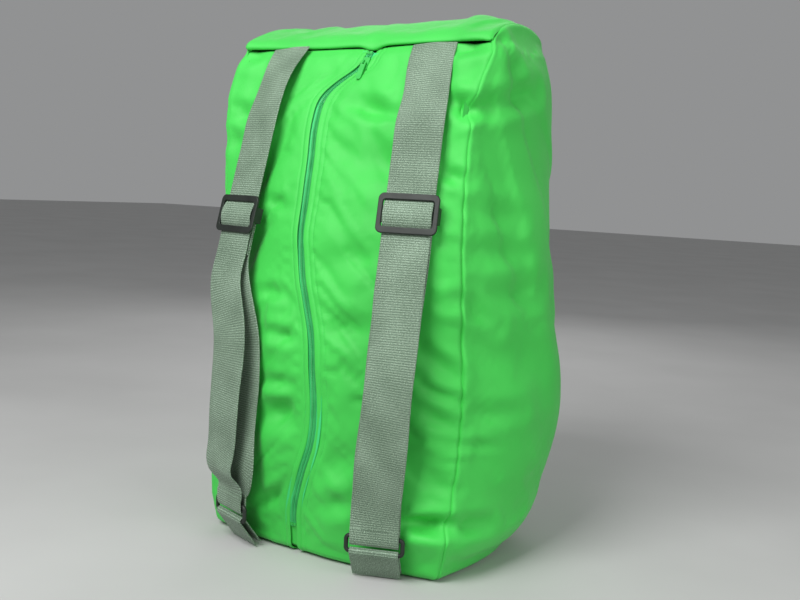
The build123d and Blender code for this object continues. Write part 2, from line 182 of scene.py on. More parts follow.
def zip_y(z):
    """Y of the back along the zip."""
    z = np.minimum(z, BACK_TOP_Z)
    return ARC_Y - ARC_R * np.cos(np.arcsin((z - ARC_Z) / ARC_R))


def front_xy(turn, z):
    half, seam_y, front_y, bulge = np.moveaxis(station_curve(z), -1, 0)
    depth = np.abs(np.sin(turn)) ** 0.5
    swell = 1 + bulge * np.sin(np.pi * np.minimum(depth, 1)) ** 0.8
    x = half * np.sign(np.cos(turn)) * np.abs(np.cos(turn)) ** 0.5 * swell
    return x, seam_y + (front_y - seam_y) * depth


def back_xy(u, z):
    half, seam_y, _, _ = np.moveaxis(station_curve(z), -1, 0)
    crown = zip_y(z)
    return u * half, crown + (seam_y - crown) * np.abs(u) ** BACK_POWER


def even_turns(turns, count):
    """Picks turns that are evenly spread along the front outline at mid height."""
    x, y = front_xy(turns, np.full_like(turns, MIDDLE_Z))
    run = np.concatenate([[0], np.cumsum(np.hypot(np.diff(x), np.diff(y)))])
    return np.interp(np.linspace(0, run[-1], count + 1), run, turns)


def turn_table():
    """Turns of the columns round the front."""
    corner = 0.25 * np.pi
    side = even_turns(np.concatenate([[0], np.geomspace(1e-6, corner, 600)]), NS)
    half_front = even_turns(np.linspace(corner, 0.5 * np.pi, 600), NB // 2)
    quarter = np.concatenate([side, half_front[1:]])
    return np.concatenate([quarter, np.pi - quarter[-2::-1]])


TURNS = turn_table()
BACK_U = np.linspace(-1, 1, NB + 1)


def column_xy(z):
    """X and Y of every column at its own height; z has one value per column in its last axis."""
    xb, yb = back_xy(BACK_U, z[..., :NB + 1])
    xf, yf = front_xy(TURNS[1:-1], z[..., NB + 1:])
    return np.concatenate([xb, xf], -1), np.concatenate([yb, yf], -1)


def top_heights():
    """Height at which each column meets the vault of the top."""
    z = np.full(NC, SEAM_TOP_Z)
    for _ in range(60):
        y = column_xy(z)[1]
        reach = np.sqrt(np.maximum(VAULT_R ** 2 - (y - VAULT_Y) ** 2, 0))
        z = 0.5 * z + 0.5 * np.where(y < VAULT_BACK_Y, SEAM_TOP_Z, VAULT_Z + reach)
    return z


def coons(back, front, left, right):
    """A patch between four border lines; the side lines run from the back to the front."""
    s = np.linspace(0, 1, len(left))[:, None, None]
    t = np.linspace(0, 1, len(back))[None, :, None]
    corners = (1 - s) * ((1 - t) * back[0] + t * back[-1]) + s * ((1 - t) * front[0] + t * front[-1])
    return (1 - s) * back[None] + s * front[None] + (1 - t) * left[:, None] + t * right[:, None] - corners


def ring_borders(row):
    """The four border lines of the patch inside one row of the wall."""
    back = row[:NB + 1]
    right = row[NB:NB + NS + 1]
    front = row[NB + NS:2 * NB + NS + 1][::-1]
    left = np.concatenate([row[2 * NB + NS:], row[:1]])[::-1]
    return back, front, left, right


# large soft bulges of the load: centre, reach in X, Y, Z, and how far the cloth is pushed
BULGES = np.array((
    (-150, -70, 480, 60, 90, 130, -17, -3, 5),
    (175, 40, 150, 90, 130, 105, 19, 0, 0),
    (-175, 40, 185, 90, 130, 90, -10, 0, 0),
    (170, 60, 600, 45, 130, 50, -12, 0, -20),
    (129, -100, 330, 28, 60, 75, 4, -7, 0),
    (154, -66, 526, 28, 50, 34, 12, -2, 0),
    (20, -130, 340, 60, 60, 22, 0, -3.5, 0),
    (60, -140, 215, 60, 60, 26, 0, -4, 0),
    (-32, -140, 118, 24, 60, 32, 0, -4, 0),
    (134, -112, 42, 26, 40, 15, 2, -6, 0),
    (127, -110, 230, 26, 60, 120, 3, -6, 0),
))


def bulged(p):
    """Points of the bag pushed out by the rope inside."""
    push = np.zeros(p.shape)
    for b in BULGES:
        away = np.linalg.norm((p - b[:3]) / b[3:6], axis=-1)
        push += bell(away, 1)[..., None] * b[6:]
    push *= smooth(p[..., 2], 0, 40)[..., None]
    return p + push


def rest_shape():
    """Wall, top and bottom grids of the filled bag before its cloth is simulated."""
    top = top_heights()
    share = np.linspace(0, 1, NR + 1)[:, None]
    z = share * top[None]
    x, y = column_xy(z)
    foot = np.where(z < FOOT_R, FOOT_R - np.sqrt(np.maximum(FOOT_R ** 2 - (FOOT_R - z) ** 2, 0)), 0)
    wall = np.stack([x, y, z], -1)
    wall -= flat_outward(x, y) * foot[..., None]
    lid = coons(*ring_borders(wall[-1]))
    lid[1:-1, 1:-1, 2] = VAULT_Z + np.sqrt(VAULT_R ** 2 - (lid[1:-1, 1:-1, 1] - VAULT_Y) ** 2)
    base = coons(*ring_borders(wall[0]))
    return bulged(wall), bulged(lid), base


def welded(wall, lid, base):
    """One welded cloth of all three grids: points, faces, and where each grid's points are."""
    count = (NR + 1) * NC
    wall_ids = np.arange(count).reshape(NR + 1, NC)

    def patch_ids(row, start):
        ids = np.zeros((NS + 1, NB + 1), int)
        ids[1:-1, 1:-1] = start + np.arange((NS - 1) * (NB - 1)).reshape(NS - 1, NB - 1)
        back, front, left, right = ring_borders(row)
        ids[0], ids[-1], ids[:, 0], ids[:, -1] = back, front, left, right
        return ids

    lid_ids = patch_ids(wall_ids[-1], count)
    base_ids = patch_ids(wall_ids[0], count + (NS - 1) * (NB - 1))
    points = np.concatenate([wall.reshape(-1, 3), lid[1:-1, 1:-1].reshape(-1, 3),
                             base[1:-1, 1:-1].reshape(-1, 3)])
    around = np.concatenate([wall_ids, wall_ids[:, :1]], 1)
    faces = [quads(around), quads(lid_ids), quads(base_ids)[:, ::-1]]
    return points, np.concatenate(faces), (wall_ids, lid_ids, base_ids)


def quads(ids):
    """Faces of a grid of point numbers, facing out where rows go up and columns go round."""
    return np.stack([ids[:-1, :-1], ids[:-1, 1:], ids[1:, 1:], ids[1:, :-1]], -1).reshape(-1, 4)


CAP = 2.4               # furthest that the simulation may move a point
WRINKLE = 0.9           # how much of the small folds to keep, of what the simulation gives
FRAMES = 22
LOOSE = 0.04            # how hard the free cloth is held to its pattern
FLAT_BY_ZIP = (9, 26)   # distance from the zip within which the cloth lies flat, and where it is free


def small_scale(moved, faces, rounds=60):
    """The small-scale part of a displacement: what is left without its average nearby."""
    edges = np.concatenate([faces[:, [0, 1]], faces[:, [1, 2]], faces[:, [2, 3]], faces[:, [3, 0]]])
    a, b = edges[:, 0], edges[:, 1]
    count = np.bincount(a, minlength=len(moved)) + np.bincount(b, minlength=len(moved))
    broad = moved
    for _ in range(rounds):
        total = np.stack([np.bincount(a, broad[b, k], len(moved)) + np.bincount(b, broad[a, k], len(moved))
                          for k in range(3)], -1)
        broad = 0.5 * broad + 0.5 * total / count[:, None]
    return moved - broad


def seam_ease(ids, count):
    """0 at the seams and along the zip, 1 away from them: the seams stay on the pattern's lines."""
    column = np.arange(NC)
    across = np.minimum(np.minimum(column, np.abs(column - NB)), NC - column)
    up = np.minimum(np.arange(NR + 1), NR - np.arange(NR + 1))
    depth = np.minimum(across[None], up[:, None])
    ease = np.zeros(count)
    ease[ids[0]] = smooth(depth, 0.5, 5)
    rows = np.minimum(np.arange(NS + 1), NS - np.arange(NS + 1))
    cols = np.minimum(np.arange(NB + 1), NB - np.arange(NB + 1))
    ease[ids[1]] = smooth(np.minimum(rows[:, None], cols[None]), 0.5, 5)
    return ease


def simulate(points, faces, ids):
    """Lets the cloth settle: the panels are a little too large, the seams draw them in."""
    wall_ids, _, base_ids = ids
    mesh = bpy.data.meshes.new("sim_cloth")
    mesh.from_pydata((points * MM).tolist(), [], faces.tolist())
    obj = bpy.data.objects.new("sim_cloth", mesh)
    bpy.context.scene.collection.objects.link(obj)
    pin = np.full(len(points), LOOSE)
    wall = points[wall_ids]
    reach = np.abs(wall[..., 0] - zip_curve(wall[..., 2]))
    on_back = wall[..., 1] < -40
    pin[wall_ids] = np.maximum(LOOSE, (1 - smooth(reach, *FLAT_BY_ZIP)) * on_back)
    pin[wall_ids[0]] = 1
    pin[wall_ids[1]] = 0.6
    pin[base_ids.ravel()] = 1
    pin[wall_ids[-1, :NB + 1]] = np.maximum(pin[wall_ids[-1, :NB + 1]], 0.5)
    draw = np.zeros(len(points))
    for column in (0, NB):
        for offset, weight in ((-1, .5), (0, 1), (1, .5)):
            draw[wall_ids[:, (column + offset) % NC]] = weight
    draw[wall_ids[-1]] = 1
    draw[wall_ids[-2]] = 0.5
    for name, weights in (("pin", pin), ("draw", draw)):
        group = obj.vertex_groups.new(name=name)
        for level in np.unique(np.round(weights, 2)):
            if level > 0:
                members = np.nonzero(np.round(weights, 2) == level)[0]
                group.add(members.tolist(), float(level), "REPLACE")
    cloth = obj.modifiers.new("Cloth", "CLOTH")
    s = cloth.settings
    s.quality = 5
    s.mass = 0.2
    s.tension_stiffness = s.compression_stiffness = 12
    s.shear_stiffness = 6
    s.bending_stiffness = 0.25
    s.tension_damping = s.compression_damping = s.shear_damping = 8
    s.use_pressure = True
    s.uniform_pressure_force = 5.0
    s.vertex_group_mass = "pin"
    s.pin_stiffness = 2
    s.shrink_min = -0.03
    s.shrink_max = 0.01
    s.vertex_group_shrink = "draw"
    s.effector_weights.gravity = 0.15
    cloth.collision_settings.use_self_collision = False
    cloth.collision_settings.use_collision = False
    cloth.point_cache.frame_start = 1
    cloth.point_cache.frame_end = FRAMES
    scene = bpy.context.scene
    for f in range(1, FRAMES + 1):
        scene.frame_set(f)
    settled = obj.evaluated_get(bpy.context.evaluated_depsgraph_get())
    result = np.zeros(len(points) * 3)
    settled.data.vertices.foreach_get("co", result)
    scene.frame_set(1)
    bpy.data.objects.remove(obj)
    bpy.data.meshes.remove(mesh)
    moved = WRINKLE * small_scale(result.reshape(-1, 3) / MM - points, faces)
    moved *= seam_ease(ids, len(points))[:, None]
    length = np.linalg.norm(moved, axis=1, keepdims=True)
    limit = CAP * np.tanh(length / CAP) / np.maximum(length, 1e-6)
    return points + moved * limit


def refine(grid, rows, cols):
    """Smooth points of a grid at row and column positions; cols may differ from row to row."""
    rows = np.asarray(rows, float)
    cols = np.broadcast_to(np.asarray(cols, float), (len(rows), np.shape(cols)[-1]))

    def weights(t):
        return (-.5 * t ** 3 + t * t - .5 * t, 1.5 * t ** 3 - 2.5 * t * t + 1,
                -1.5 * t ** 3 + 2 * t * t + .5 * t, .5 * t ** 3 - .5 * t * t)

    padded = np.concatenate([2 * grid[:1] - grid[1:2], grid, 2 * grid[-1:] - grid[-2:-1]])
    low = np.clip(np.floor(rows).astype(int), 0, len(grid) - 2)
    part = (rows - low)[:, None, None]
    lines = sum(w * padded[low + k] for k, w in enumerate(weights(part)))
    lines = np.concatenate([2 * lines[:, :1] - lines[:, 1:2], lines, 2 * lines[:, -1:] - lines[:, -2:-1]], 1)
    low = np.clip(np.floor(cols).astype(int), 0, grid.shape[1] - 2)
    part = (cols - low)[..., None]
    line = np.arange(len(rows))[:, None]
    return sum(w * lines[line, low + k] for k, w in enumerate(weights(part)))


# ---- folds sculpted into the cloth
STRAP_INNER, STRAP_OUTER = (42, 58), (114, 128)    # distances from X = 0 at which the straps cover the cloth
# each fold is a valley between two points: from, to, width and depth
FOLDS = np.array((
    (120, -62, 531, 148, -50, 540, 10, 9),
    (-158, -62, 540, -125, -70, 528, 10, 3),
    (-156, -88, 440, -135, -100, 436, 9, 2.5),
    (11, -91, 477, 74, -94, 464, 9, 4.5),
    (25, -108, 428, 84, -109, 403, 20, 4),
    (120, -86, 480, 144, -85, 473, 8, 6.5),
    (144, -86, 472, 165, 12, 499, 11, 5.5),
    (122, -91, 459, 144, -86, 470, 7, 3),
    (124, -98, 412, 145, -92, 401, 7, 3.5),
    (129, -102, 364, 145, -95, 356, 6, 3),
    (126, -105, 343, 141, -98, 341, 7, 2),
    (120, -112, 287, 141, -99, 287, 8, 4),
    (145, -97, 288, 172, -57, 261, 9, 4),
    (16, -135, 319, 80, -123, 328, 14, 2.5),
    (21, -142, 251, 74, -133, 251, 14, 4.5),
    (25, -144, 206, 74, -134, 221, 16, 2),
    (119, -115, 238, 148, -99, 214, 8, 4.5),
    (117, -117, 201, 153, -97, 188, 6, 4),
    (118, -118, 180, 157, -96, 157, 8, 3),
    (118, -118, 155, 158, -95, 142, 6, 3),
    (141, -107, 126, 159, -94, 129, 4, 2),
    (137, -110, 108, 157, -97, 99, 7, 2),
    (113, -118, 61, 153, -105, 64, 8, 9),
    (153, -106, 61, 170, -54, 59, 9, 3.5),
    (-56, -138, 238, -8, -144, 235, 7, 3),
    (-56, -139, 185, -7, -145, 188, 7, 3),
    (-71, -132, 279, -19, -140, 280, 7, 2.5),
    (-74, -118, 374, -45, -123, 369, 7, 2.5),
    (-55, -138, 148, -7, -144, 161, 13, 5),
    (-59, -127, 50, -20, -134, 71, 8, 4),
    (-151, -92, 470, -118, -94, 465, 9, 3),
    (146, -94, 375, 173, -26, 366, 12, 3),
    (150, -90, 341, 177, -17, 329, 14, 3),
    (159, -79, 292, 184, 11, 295, 14, 3.5),
    (147, -40, 533, 159, -34, 497, 12, 2.5),
    (20, -132, 64, 60, -131, 76, 10, 3),
    (18, -138, 103, 63, -135, 121, 16, 2),
    (156, -90, 250, 185, -32, 220, 16, 2.5),
    (157, -94, 174, 188, -29, 173, 9, 2),
    (158, -95, 146, 178, -52, 139, 5, 1.6),
    (182, -28, 258, 195, 25, 155, 22, 3),
))


def folded(p, normal, from_seam, ease):
    """Points of a panel with the folds pressed in; both panels of a seam are pressed the same way."""
    depth = np.zeros(p.shape[:-1])
    for fold in FOLDS:
        a, b, width, deep = fold[:3], fold[3:6], fold[6], fold[7]
        run = b - a
        t = np.clip(((p - a) @ run) / (run @ run), 0, 1)
        away = np.linalg.norm(p - a - t[..., None] * run, axis=-1)
        taper = 0.35 + 0.65 * np.sin(np.pi * np.clip(t, 0.04, 0.96))
        depth += 1.8 * deep * taper * (bell(away, width) - 0.3 * bell(away - 1.9 * width, 0.8 * width))
    outward = flat_outward(p[..., 0], p[..., 1])
    shared = (1 - smooth(from_seam, 0, 26))[..., None]
    push = unit(normal * (1 - shared) + outward * shared)
    reach = np.abs(p[..., 0])
    free = smooth(reach, *STRAP_OUTER) + 1 - smooth(reach, *STRAP_INNER)
    depth = np.maximum(depth * ease, -0.4 - 5 * free)
    return p - push * depth[..., None]


def seam_profile(away):
    """How far a panel's edge tucks in at a plain seam, at a distance from the seam."""
    return 2.4 * bell(away, 1.1) - 0.5 * bell(away - 4.0, 2.2)


def puckers(p, away, seed):
    """Short puckers that the seam's thread draws up, running square to the seam."""
    along = noise(p * (0.12, 0.12, 1.0), 9.0, seed) + 0.6 * noise(p * (0.1, 0.1, 1.0), 21.0, seed + 1)
    return along * (1.1 * bell(away, 16) + 0.5 * bell(away, 40)) * smooth(away, 0.5, 5)


SEAM_STEPS = (0, .7, 1.5, 2.6, 4.2, 6.6)


def span(start, end, step, dense_start=True):
    """Distances from start to end with extra lines near the seams at the ends."""
    head = SEAM_STEPS if dense_start else (0,)
    room = end - start - head[-1] - SEAM_STEPS[-1]
    count = max(2, int(round(room / step)))
    middle = np.linspace(head[-1], head[-1] + room, count + 1)[1:-1]
    return np.array([start + d for d in head] + list(start + middle) + [end - d for d in SEAM_STEPS[::-1]])


# ---- mesh building
SHARP = math.radians(55)        # edges that fold further than this are shaded sharp


def add_object(name, points, faces, body, material, uv=None):
    """A mesh object from millimetre points; uv is one pair per point, in metres."""
    mesh = bpy.data.meshes.new(name)
    mesh.from_pydata((np.asarray(points) * MM).tolist(), [], [list(map(int, f)) for f in faces])
    mesh.polygons.foreach_set("use_smooth", [True] * len(mesh.polygons))
    mesh.set_sharp_from_angle(angle=SHARP)
    if uv is not None:
        loops = np.zeros(len(mesh.loops), int)
        mesh.loops.foreach_get("vertex_index", loops)
        layer = mesh.uv_layers.new(name="UVMap")
        layer.data.foreach_set("uv", np.asarray(uv, float)[loops].ravel())
    mesh.materials.append(material)
    obj = bpy.data.objects.new(name, mesh)
    bpy.context.scene.collection.objects.link(obj)
    if body:
        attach(obj, body)
    return obj


def slab(outer, inner, uv):
    """Points, faces and uv of a closed sheet between two grids of the same shape."""
    rows, cols = outer.shape[:2]
    n = rows * cols
    ids = np.arange(n).reshape(rows, cols)
    faces = [quads(ids), quads(ids)[:, ::-1] + n]
    border = np.concatenate([ids[0, :-1], ids[:-1, -1], ids[-1, :0:-1], ids[:0:-1, 0]])
    ahead = np.roll(border, -1)
    faces.append(np.stack([border + n, ahead + n, ahead, border], -1))
    points = np.concatenate([outer.reshape(-1, 3), inner.reshape(-1, 3)])
    return points, np.concatenate(faces), np.concatenate([uv.reshape(-1, 2)] * 2)


def grid_uv(p):
    """Cloth coordinates of a grid in metres: across along its rows, and up along its columns."""
    across = np.linalg.norm(np.diff(p, axis=1), axis=-1)
    u = np.concatenate([np.zeros((len(p), 1)), np.cumsum(across, 1)], 1)
    middle = p.shape[1] // 2
    v = run_along(p[:, middle])[:, None] + 0 * u
    return np.stack([u - u[:, middle:middle + 1], v], -1) * MM


def cloth_panel(name, p, thickness=CLOTH_T):
    """A fabric panel from the grid of its outer face."""
    normal = grid_normals(p)
    points, faces, uv = slab(p, p - normal * thickness, grid_uv(p))
    return add_object(name, points, faces, "bag", FABRIC, uv)


def tube(line, radius, sides):
    """Points and faces of a round bar along a line of points."""
    line = np.asarray(line, float)
    ahead = np.concatenate([line[1:], 2 * line[-1:] - line[-2:-1]])
    along = unit(ahead - line)
    helper = np.where(np.abs(along[:, 2:]) < 0.9, (0, 0, 1), (1, 0, 0))
    first = unit(np.cross(along, helper))
    second = np.cross(along, first)
    angle = np.linspace(0, 2 * np.pi, sides, endpoint=False)
    ring = np.cos(angle)[None, :, None] * first[:, None] + np.sin(angle)[None, :, None] * second[:, None]
    points = (line[:, None] + ring * radius).reshape(-1, 3)
    ids = np.arange(len(points)).reshape(-1, sides)
    ids = np.concatenate([ids, ids[:, :1]], 1)
    ends = [list(range(sides))[::-1], list(range(len(points) - sides, len(points)))]
    return points, [list(f) for f in quads(ids)] + ends


def stitch_bars(line, normal, length=2.7, gap=1.1, width=0.8, height=0.45):
    """Thread of a row of stitches along a line that lies on the cloth."""
    run = run_along(line)
    starts = np.arange(0.5, run[-1] - length, length + gap)

    def at(values, data):
        return np.stack([np.interp(values, run, data[:, k]) for k in range(3)], -1)

    shares = np.array((0, .12, .5, .88, 1))
    tall = np.array((-.25, .7, 1, .7, -.25)) * height
    wide = np.array((.5, .9, 1, .9, .5)) * width / 2
    profile = [(math.cos(a), math.sin(a)) for a in map(math.radians, (0, 60, 120, 180))]
    points, faces = [], []
    for start in starts:
        here = start + shares * length
        centre, up = at(here, line), unit(at(here, normal))
        along = heading(centre)
        side = unit(np.cross(along, up))
        base = len(points)
        for k in range(5):
            for c, s in profile:
                points.append(centre[k] + side[k] * wide[k] * c + up[k] * (tall[k] * s - 0.1))
        for k in range(4):
            for m in range(3):
                q = base + 4 * k + m
                faces.append((q, q + 4, q + 5, q + 1))
    return np.array(points), faces


def merged(pieces):
    """Several (points, faces) pairs as one."""
    points, faces, start = [], [], 0
    for p, f in pieces:
        points.append(np.asarray(p))
        faces += [[int(k) + start for k in face] for face in f]
        start += len(p)
    return np.concatenate(points), faces


# ---- materials
class Finish:
    """A node material with a Principled shader, and short calls for the nodes that feed it."""

    def __init__(self, name):
        self.material = bpy.data.materials.new(name)
        self.material.use_nodes = True
        self.tree = self.material.node_tree
        self.tree.nodes.clear()
        self.shader = self.add("ShaderNodeBsdfPrincipled")
        out = self.add("ShaderNodeOutputMaterial")
        self.tree.links.new(self.shader.outputs[0], out.inputs["Surface"])
        self.coords = self.add("ShaderNodeTexCoord")

    def add(self, kind, **settings):
        node = self.tree.nodes.new(kind)
        for key, value in settings.items():
            setattr(node, key, value)
        return node

    def feed(self, socket, value):
        if isinstance(value, bpy.types.NodeSocket):
            self.tree.links.new(value, socket)
        else:
            socket.default_value = value

    def math(self, operation, a, b=0.0, c=0.0):
        node = self.add("ShaderNodeMath", operation=operation)
        for socket, value in zip(node.inputs, (a, b, c)):
            self.feed(socket, value)
        return node.outputs[0]

    def noise(self, scale, detail=2.0, where=None):
        node = self.add("ShaderNodeTexNoise")
        self.feed(node.inputs["Vector"], where or self.coords.outputs["Object"])
        node.inputs["Scale"].default_value = scale
        node.inputs["Detail"].default_value = detail
        return node.outputs["Fac"]

    def uv(self):
        node = self.add("ShaderNodeSeparateXYZ")
        self.feed(node.inputs[0], self.coords.outputs["UV"])
        return node.outputs[0], node.outputs[1]

    def ramp(self, value, stops):
        node = self.add("ShaderNodeValToRGB")
        self.feed(node.inputs[0], value)
        ramp = node.color_ramp
        while len(ramp.elements) < len(stops):
            ramp.elements.new(0.5)
        for element, (place, colour) in zip(ramp.elements, stops):
            element.position = place
            element.color = (*colour, 1)
        return node.outputs[0]

    def wave(self, along, pitch):
        """A sine along a cloth coordinate, once every pitch metres."""
        return self.math("SINE", self.math("MULTIPLY", along, 2 * math.pi / pitch))

    def bump(self, *layers):
        """Bump from (height, distance in metres, strength) layers, one on another."""
        last = None
        for height, distance, strength in layers:
            node = self.add("ShaderNodeBump")
            node.inputs["Strength"].default_value = strength
            node.inputs["Distance"].default_value = distance
            self.feed(node.inputs["Height"], height)
            if last is not None:
                self.feed(node.inputs["Normal"], last)
            last = node.outputs[0]
        self.feed(self.shader.inputs["Normal"], last)

    def set(self, **values):
        names = {"colour": "Base Color", "roughness": "Roughness", "specular": "Specular IOR Level",
                 "sheen": "Sheen Weight"}
        for key, value in values.items():
            self.feed(self.shader.inputs[names[key]], value)


def fabric_finish(name, dark, mid, light):
    """Coated polyester: a fine weave, soft crinkles, and a cloudy tone."""
    f = Finish(name)
    u, v = f.uv()
    weave = f.math("MULTIPLY", f.wave(u, 0.0011), f.wave(v, 0.0011))
    cloud = f.noise(7.0, 3.0)
    f.set(colour=f.ramp(f.math("ADD", f.math("MULTIPLY", weave, 0.05), cloud),
                        [(0.30, dark), (0.5, mid), (0.72, light)]),
          roughness=f.math("MULTIPLY_ADD", f.noise(30.0), 0.14, 0.46), specular=0.42, sheen=0.12)
    f.shader.inputs["Sheen Roughness"].default_value = 0.4
    f.bump((f.noise(42.0, 3.0), 0.0012, 0.35), (weave, 0.00012, 0.5))
    return f.material


def webbing_finish(name, dark, middle, light):
    """Coarse woven webbing: rows of yarn across the strap; the darker gaps between the rows are painted
    shade, and the bright specks on the yarn crowns are painted glints.
    """
    f = Finish(name)
    u, v = f.uv()
    # rows of the weave; the dark gaps between them are painted shade
    rows = f.math("MULTIPLY_ADD", f.wave(v, 0.0024), 0.5, 0.5)
    stretch = f.add("ShaderNodeCombineXYZ")
    f.feed(stretch.inputs[0], f.math("MULTIPLY", u, 900))
    f.feed(stretch.inputs[1], f.math("MULTIPLY", v, 1900))
    # bright specks on the yarn crowns: painted glints
    painted_glint = f.noise(1.0, 1.0, stretch.outputs[0])
    tone = f.math("ADD", f.math("MULTIPLY", rows, 0.16), f.math("MULTIPLY", painted_glint, 1.1))
    tone = f.math("ADD", tone, f.math("MULTIPLY", f.noise(26.0, 2.0), 0.2))
    # the light end of the ramp is the painted glint colour
    f.set(colour=f.ramp(f.math("SUBTRACT", tone, 0.24), [(0.25, dark), (0.50, middle), (0.72, light)]),
          roughness=0.62, specular=0.35, sheen=0.1)
    f.bump((f.noise(60.0, 2.0), 0.001, 0.15), (tone, 0.0005, 0.7))
    return f.material


def plastic_finish(name, dark, light, roughness, grain=500.0, specular=0.5):
    """Moulded nylon with a fine grain and a slightly rubbed tone."""
    f = Finish(name)
    f.set(colour=f.ramp(f.noise(60.0, 4.0), [(0.35, dark), (0.7, light)]), specular=specular)
    rough = f.add("ShaderNodeMapRange")
    f.feed(rough.inputs["Value"], f.noise(110.0, 3.0))
    rough.inputs["To Min"].default_value = roughness - 0.07
    rough.inputs["To Max"].default_value = roughness + 0.1
    f.feed(f.shader.inputs["Roughness"], rough.outputs[0])
    f.bump((f.noise(grain, 2.0), 0.0001, 0.5), (f.noise(35.0, 2.0), 0.0005, 0.1))
    return f.material


FABRIC = fabric_finish("green_coated_fabric", (.040, .52, .062), (.048, .58, .072), (.056, .63, .082))
# grey webbing; the green tint of all three colours is painted bounce light from the green fabric, and the
# light colour is the painted glint
WEBBING = webbing_finish("grey_webbing", (.050, .082, .052), (.125, .195, .130), (.42, .56, .43))
THREAD = plastic_finish("green_thread", (.035, .50, .07), (.06, .62, .10), 0.6)
COIL = plastic_finish("teal_zip_coil", (.03, .42, .11), (.05, .56, .16), 0.45, grain=900.0)
TAPE = fabric_finish("green_zip_tape", (.03, .55, .15), (.045, .64, .19), (.06, .70, .23))
BUCKLE = plastic_finish("dark_moulded_nylon", (.010, .014, .011), (.019, .025, .020), 0.46, specular=0.38)
ENAMEL = plastic_finish("green_enamelled_metal", (.02, .40, .05), (.03, .48, .07), 0.35)
BINDING = fabric_finish("dark_green_binding", (.015, .30, .03), (.02, .36, .04), (.025, .42, .05))


# ---- fabric panels
LIP = 4.3               # from the middle of the zip to the folded edge of the fabric
HEM_STEPS = (0, .4, 1, 1.8, 2.8, 3.9, 4.9, 5.6, 6.2, 6.8, 7.6, 8.8, 10.2, 11.4, 12, 12.6, 13.6, 15.5, 18)
STITCH_ROWS = {-1: (6.4,), 1: (6.4, 12.0)}     # rows beside the zip on the left and the right panel
KEEP = 20.0             # the distances next to a panel's edges that stay as they are


def fit_width(distances, width):
    """Stretches the middle of a row of distances to a width, and leaves both ends alone."""
    full = distances[-1]
    middle = KEEP + (distances - KEEP) * (width - 2 * KEEP)[..., None] / (full - 2 * KEEP)
    return np.where(distances < KEEP, distances,
                    np.where(distances > full - KEEP, width[..., None] - (full - distances), middle))


ROW_PITCH = SEAM_TOP_Z / NR
ROWS = span(0, SEAM_TOP_Z, 3.2) / ROW_PITCH


def lift_top(p):
    """The stuffed top stands a little higher towards +X."""
    p = p.copy()
    p[..., 2] += 3.5 * np.clip(p[..., 0] / 140, -1, 1) * smooth(p[..., 2], 450, 575)
    return p


def from_ends(shape):
    """Distances of a wall panel's points from its top and from its foot."""
    return (np.broadcast_to(((NR - ROWS) * ROW_PITCH)[:, None], shape),
            np.broadcast_to((ROWS * ROW_PITCH)[:, None], shape))


def end_ease(from_top, from_foot):
    """Share of the folds that stays near a wall panel's top and foot."""
    return (0.45 + 0.55 * smooth(from_top, 0, 14)) * smooth(from_foot, 0, 20)


def back_panel(side, wall):
    """One back panel, from the zip to the side seam, and how far its points are from the zip's edge."""
    z = ROWS / NR * SEAM_TOP_Z
    half = station_curve(z)[:, 0]
    edge = side * zip_curve(z) + LIP
    steps = np.concatenate([HEM_STEPS, span(18, 150, 3.4, dense_start=False)[1:]])
    away = fit_width(steps, half - edge)
    u = side * (edge[:, None] + away) / half[:, None]
    cols = np.clip((1 + u) * NB / 2, 0, NB)
    if side < 0:
        cols, away = cols[:, ::-1], away[:, ::-1]
    p = lift_top(refine(wall[:, :NB + 1], ROWS, cols))
    normal = grid_normals(p)
    from_seam = (half - edge)[:, None] - away
    from_top, from_foot = from_ends(away.shape)
    p = folded(p, normal, from_seam, smooth(away, *FLAT_BY_ZIP) * end_ease(from_top, from_foot))
    depth = seam_profile(from_seam) + seam_profile(from_top) + seam_profile(from_foot)
    under_lid = 3.0 * bell(from_top, 9)
    hem = smooth(away, 0, 1.0) * (1 - smooth(away, 4.2, 5.8))
    under_pull = 2.4 * bell(p[..., 0] - 14, 8) * smooth(p[..., 2], 506, 520)
    depth += under_lid - 0.5 * hem + under_pull
    for place in STITCH_ROWS[side]:
        depth += 0.45 * bell(away - place, 0.7)
    near_zip = smooth(away, 6, 40)
    depth += puckers(p, from_seam, 11) + near_zip * 0.8 * puckers(p, from_top, 15)
    depth += noise(p * (.3, .3, 1), 30, 21) * 2.4 * near_zip * smooth(from_seam, 3, 30)
    depth += noise(p * (.5, .4, 1), 62, 22) * 3.0 * near_zip * smooth(from_seam, 3, 40)
    depth += noise(p * (0.1, 0.1, 1.0), 12.0, 23) * 0.45 * bell(away - 9, 8)
    depth = np.maximum(depth, -0.6 - 7.0 * (1 - smooth(np.abs(p[..., 0]), *STRAP_INNER)))
    return p - normal * depth[..., None], away


def wrap_panel(wall):
    """The one panel that makes both sides and the front."""
    loop = np.concatenate([wall[:, NB:], wall[:, :1]], 1)
    run = run_along(loop[NR // 2])
    away = span(0, run[-1], 3.6)
    cols = np.interp(away, run, np.arange(len(run)))
    p = lift_top(refine(loop, ROWS, cols))
    normal = grid_normals(p)
    from_seam = np.minimum(away, run[-1] - away)[None] + 0 * p[..., 0]
    from_top, from_foot = from_ends(from_seam.shape)
    p = folded(p, normal, from_seam, end_ease(from_top, from_foot))
    depth = seam_profile(from_seam) + seam_profile(from_top) + seam_profile(from_foot)
    depth += 0.45 * puckers(p, from_seam, 31) + 0.8 * puckers(p * (1, .15, .15), from_top, 33)
    depth += 0.8 * puckers(p * (1, 1, .15), from_foot, 35)
    depth += noise(p * (.5, .5, 1), 48, 37) * 1.8 * smooth(from_seam, 5, 50)
    depth += noise(p * (.3, .3, 1), 24, 38) * 0.8 * smooth(from_seam, 5, 60)
    return p - normal * depth[..., None]


